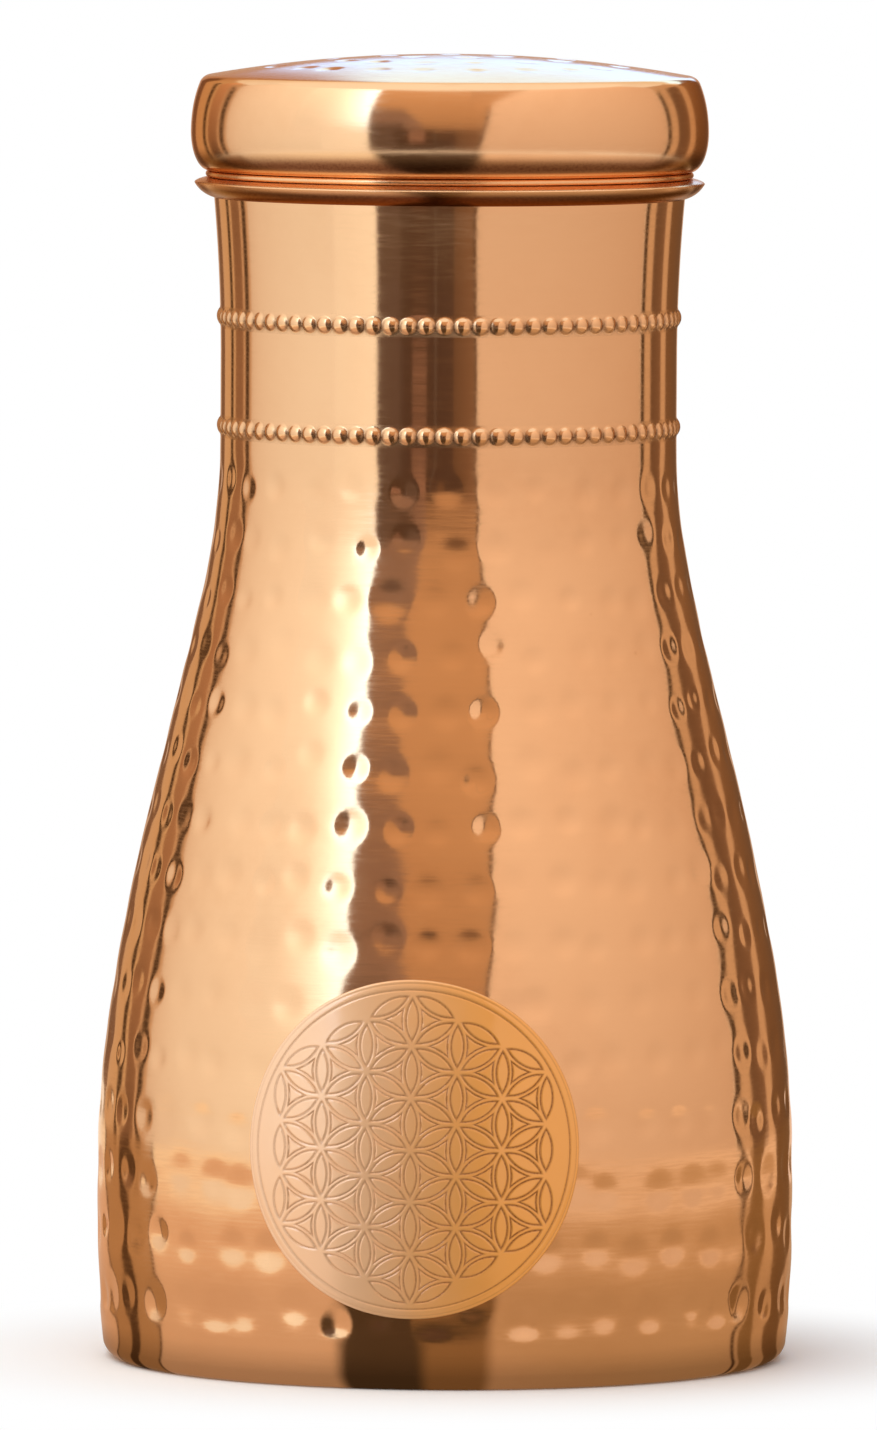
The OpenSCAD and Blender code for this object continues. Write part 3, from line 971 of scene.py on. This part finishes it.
# a card's turns from the camera in degrees along its low and high edge, the heights of these edges, one tone
# or one for each side, strengths from left to right and from down to up, and how soft its edges are
cardShades = dict(left=1.0, right=1.0, bias=1.0, down=1.0, up=1.0, softSides=0.02, softEnds=0.02)
cardDefaults = dict(cardShades, bottom=-0.4, top=2.2, away=2.0, across=24, rows=10)
flagTop = 0.47
inkLine = dict(top=0.9, tone="ink", away=1.95, softSides=0.3)
studioCards = {
    "leftGlow": dict(low=(-119, -35), tone="blush", rightTone="white", bias=0.25, down=0.92, up=1.34,
                     away=2.1),
    "hotLamp": dict(low=(-74, -35.5), bottom=0.3, tone="white", rightTone="cool", right=3.4, bias=3.2,
                    down=0.9, up=1.5, away=2.05, softSides=0.05, softEnds=0.15),
    "hotGlow": dict(low=(-60, -35.5), top=0.5, tone="white", right=1.1, bias=1.5, away=2.03, softSides=0.08,
                    softEnds=0.2),
    "leftFlag": dict(low=(-37, -19.5), top=0.58, tone="dusk", softSides=0.12, softEnds=0.06),
    "bodyHaze": dict(low=(-37.5, -8), high=(-37.5, -21), bottom=0.4, top=1.04, tone="haze", down=1.5,
                     away=2.01, softSides=0.12, softEnds=0.12),
    "midFlag": dict(low=(-25, -5), top=flagTop, tone="dark", softSides=0.1, softEnds=0.06),
    "midPanel": dict(low=(-18.5, -10.5), bottom=0.03, top=0.4, tone="panel", away=1.95, softSides=0.1,
                     softEnds=0.2),
    "deepFlag": dict(low=(-6.5, 2.5), top=flagTop, tone="dark", right=1.1, softEnds=0.1),
    "edgeFlag": dict(low=(2.2, 13), high=(2.2, 15), top=flagTop, tone="bark", left=0.75, right=1.2,
                     softEnds=0.1),
    "brownWall": dict(low=(-38, 30), bottom=0.35, tone="brown", up=1.6, away=2.06, softEnds=0.05),
    "brownCorner": dict(low=(10, 13), high=(10, 46), bottom=1.0, top=2.1, tone="brown", left=1.3, right=1.45,
                        away=1.97, softSides=0.12, softEnds=0.04),
    "rightFill": dict(low=(10.6, 113), high=(25, 113), tone="fill", rightTone="fillDeep", bias=1.5, down=0.86,
                      up=1.36, away=2.02, softSides=0.008),
    "fillEdge": dict(low=(10.4, 11.6), high=(17.4, 19.0), top=1.0, tone="ink", away=1.96, softSides=0.2),
    "rightLine": dict(inkLine, low=(112.5, 117)),
    "rightGold": dict(low=(112.5, 142), top=1.4, tone="gold"),
    "rightSeam": dict(low=(121.5, 135.5), top=0.9, tone="bark", left=0.8, right=1.2, away=1.95,
                      softSides=0.15),
    "rightDark": dict(low=(140, 169), top=1.0, tone="ink", left=1.9, right=1.5, up=3.0, softSides=0.05),
    "leftBack": dict(low=(-178, -117), top=1.4, tone="gold", away=2.14),
    "leftLine": dict(inkLine, low=(-125, -119.5)),
    "leftBark": dict(low=(-137, -126), top=1.4, tone="bark", down=0.5, up=4.4, away=1.96, softSides=0.12),
    "leftSeam": dict(inkLine, low=(-144, -138.5)),
    "leftAsh": dict(low=(-156, -136), top=1.4, tone="ash"),
    "leftDark": dict(low=(-167, -155), top=1.0, tone="bark", left=1.2, right=1.2),
    "overhead": dict(low=(-180, 180), bottom=2.22, top=2.5, tone="white", left=1.1, right=1.1, awayTop=0.1),
    "backGold": dict(low=(148, 212), top=0.5, tone="gold", away=2.19),
    "backGlow": dict(low=(148, 212), bottom=0.48, top=1.4, tone="sky", left=4.4, right=4.4, away=2.2),
}


def makeCardLight():
    # tone and strength across a card, and a mask that softens its edges
    tree, given, result = newGroup("cardLight", dict(cardShades, leftTone=white, rightTone=white),
                                   {"Color": "Color", "Mask": "Float"})
    spot = place(tree, "SeparateXYZ", {0: place(tree, "TexCoord").outputs["UV"]}).outputs
    mask = 1.0
    for share, soft in ((spot[0], given["softSides"]), (spot[1], given["softEnds"])):
        for side in (share, calc(tree, "SUBTRACT", 1.0, share)):
            mask = calc(tree, "MULTIPLY", mask, rampValue(tree, side, 0.0, soft))
    across = calc(tree, "POWER", spot[0], given["bias"])
    strength = calc(tree, "MULTIPLY", mixValue(tree, across, given["left"], given["right"]),
                    mixValue(tree, spot[1], given["down"], given["up"]))
    tone = mixColour(tree, across, given["leftTone"], given["rightTone"])
    lit = place(tree, "VectorMath", {0: tone, "Scale": strength}, operation="SCALE").outputs["Vector"]
    tree.links.new(lit, result["Color"])
    tree.links.new(mask, result["Mask"])
    return tree


cardLight = makeCardLight()


def cardMesh(name, card):
    across, rows = card["across"], card["rows"]
    low, high = (np.radians(np.linspace(*turns, across + 1) + studio["cameraTurn"])
                 for turns in (card["low"], card.get("high", card["low"])))
    points, faces, shares = [], [], []
    for j in range(rows + 1):
        v = j / rows
        reach = card["away"] * (1 - v) + card.get("awayTop", card["away"]) * v
        height = card["bottom"] * (1 - v) + card["top"] * v
        for i, turn in enumerate(low * (1 - v) + high * v):
            points.append((reach * math.sin(turn), -reach * math.cos(turn), height))
            shares.append((i / across, v))
    for j in range(rows):
        for i in range(across):
            a = j * (across + 1) + i
            faces.append((a, a + 1, a + across + 2, a + across + 1))
    mesh = bpy.data.meshes.new(name)
    mesh.from_pydata(points, [], faces)
    layer = mesh.uv_layers.new(name="share")
    for loop in mesh.loops:
        layer.data[loop.index].uv = shares[loop.vertex_index]
    return mesh


def makeCard(name, given):
    # a sheet that only reflections see
    card = {**cardDefaults, "rightTone": given["tone"], **given}
    leftTone, rightTone = cardTones[card["tone"]], cardTones[card["rightTone"]]
    material, tree = newMaterial(name + "Glow")
    light = useGroup(tree, cardLight, dict(card, leftTone=leftTone, rightTone=rightTone))
    colour, strength = light["Color"], 1.0
    if leftTone == rightTone and card["left"] == card["right"] and card["down"] == card["up"]:
        colour, strength = leftTone, card["left"] * card["down"]  # the same all over
    glow = place(tree, "BsdfPrincipled", {
        "Base Color": (0, 0, 0, 1), "Roughness": 1.0, "Specular IOR Level": 0.0, "Alpha": light["Mask"],
        "Emission Color": colour, "Emission Strength": strength,
    })
    place(tree, "OutputMaterial", {"Surface": glow.outputs[0]})
    material.cycles.emission_sampling = "NONE"
    made = addObject(name, cardMesh(name, card))
    made.data.materials.append(material)
    made.visible_camera = made.visible_diffuse = made.visible_transmission = False
    made.visible_shadow = made.visible_volume_scatter = False


def tableTone(tree, spot, away):
    # painted reflection: warm table top with a brighter floor beyond its edge, and the dark shapes about the
    # jug
    s = named(table)
    turned = place(tree, "VectorRotate", {"Vector": spot, "Angle": -math.radians(studio["cameraTurn"])},
                   rotation_type="Z_AXIS").outputs[0]
    parts = place(tree, "SeparateXYZ", {0: turned}).outputs
    side = rampValue(tree, parts[0], *s.middle)
    tone = mixColour(tree, rampValue(tree, away, *s.topEnd), mixColour(tree, side, *s.top),
                     mixColour(tree, side, *s.beyond))
    # the turn on the foot at which a spot on the table is mirrored
    turn = calc(tree, "ARCTAN2", parts[0], calc(tree, "MULTIPLY", parts[1], -1.0))
    spread = calc(tree, "SUBTRACT", 2.0, calc(tree, "DIVIDE", footRadius * mm, away))
    seen = calc(tree, "DEGREES", calc(tree, "DIVIDE", turn, spread))
    for first, last, stripe in s.sides:
        tone = mixColour(tree, within(tree, seen, first, last, s.sideSoft), tone, stripe)
    front = within(tree, seen, *s.frontTurns, s.soft)
    brown = rampValue(tree, seen, s.brownTurn - s.soft, s.brownTurn + s.soft)
    brown = calc(tree, "MULTIPLY", brown, rampValue(tree, away, *s.brownEnd))
    return mixColour(tree, front, tone, mixColour(tree, brown, s.front, s.brown))


def makeFloor():
    # pale floor with the jug's shadow that runs out to white; reflections see a painted table instead, with
    # painted shade near the jug
    s = named(studio)
    mesh = bpy.data.meshes.new("floor")
    points = [(x, y, 0.0) for x, y in onCircle(s.floorRadius, evenTurns(s.floorSteps))]
    mesh.from_pydata(points, [], [tuple(range(s.floorSteps))])
    material, tree = newMaterial("paleFloor")
    spot = objectSpot(tree)
    away = place(tree, "VectorMath", {0: spot}, operation="LENGTH").outputs["Value"]
    path = place(tree, "LightPath").outputs
    seen = calc(tree, "MAXIMUM", path["Is Camera Ray"], path["Is Transmission Ray"])
    far = calc(tree, "MULTIPLY", seen, rampValue(tree, away, *s.shadowEnd))
    stained = rampValue(tree, noise(tree, spot, s.stainScale, s.stainDetail), *s.stainRange)
    ground = place(tree, "BsdfPrincipled", {
        "Base Color": mixColour(tree, stained, s.floorColour, s.stain), "Roughness": s.floorRough,
        "Specular IOR Level": s.floorShine,
    })
    bright = place(tree, "Emission", {"Color": white, "Strength": 1.0})
    base = place(tree, "MixShader", {0: far, 1: ground.outputs[0], 2: bright.outputs[0]})
    # painted shade: the mirrored table darkens close to the jug
    strength = calc(tree, "MULTIPLY", *(rampValue(tree, away, *table[part]) for part in ("nearShade", "shade")))
    warm = place(tree, "Emission", {"Color": tableTone(tree, spot, away), "Strength": strength})
    clear = place(tree, "BsdfTransparent")
    beyond = rampValue(tree, away, *table["beyondEnd"])
    mirrored = place(tree, "MixShader", {0: beyond, 1: warm.outputs[0], 2: clear.outputs[0]})
    shown = place(tree, "MixShader", {0: path["Is Glossy Ray"], 1: base.outputs[0], 2: mirrored.outputs[0]})
    place(tree, "OutputMaterial", {"Surface": shown.outputs[0]})
    mesh.materials.append(material)
    addObject("floor", mesh)


def makeWorld():
    world = bpy.data.worlds.new("whiteSurround")
    bpy.context.scene.world = world
    world.use_nodes = True
    tree = world.node_tree
    tree.nodes.clear()
    path = place(tree, "LightPath").outputs
    seen = calc(tree, "MAXIMUM", path["Is Camera Ray"], path["Is Glossy Ray"])
    seen = calc(tree, "MAXIMUM", seen, path["Is Transmission Ray"])
    strength = mixValue(tree, seen, studio["ambient"], 1.0)
    sky = place(tree, "Background", {"Color": white, "Strength": strength})
    place(tree, "OutputWorld", {"Surface": sky.outputs[0]})


def makeLamp():
    s = named(studio)
    data = bpy.data.lights.new("softLamp", "AREA")
    data.energy = s.lampPower
    data.size = s.lampSize
    lamp = addObject("softLamp", data)
    lamp.location = s.lampPlace
    lamp.rotation_euler = (-Vector(s.lampPlace)).to_track_quat("-Z", "Y").to_euler()
    lamp.visible_glossy = False


def makeCamera():
    s = named(studio)
    turn = math.radians(s.cameraTurn)
    away = Vector((math.sin(turn), -math.cos(turn), 0))
    right = Vector((math.cos(turn), math.sin(turn), 0))
    data = bpy.data.cameras.new("photoCamera")
    data.lens = s.lens
    data.sensor_width = s.sensor
    camera = addObject("photoCamera", data)
    camera.location = away * s.cameraAway + Vector((0, 0, s.cameraHeight))
    aim = right * s.aimSide + Vector((0, 0, s.aimHeight))
    facing = (aim - camera.location).to_track_quat("-Z", "Y")
    camera.rotation_euler = (facing @ Quaternion((0, 0, 1), math.radians(s.cameraRoll))).to_euler()
    bpy.context.scene.camera = camera


makeFloor()
makeWorld()
makeLamp()
for name, card in studioCards.items():
    makeCard(name, card)
makeCamera()
bpy.context.scene.view_settings.view_transform = "Standard"
print("studio made")
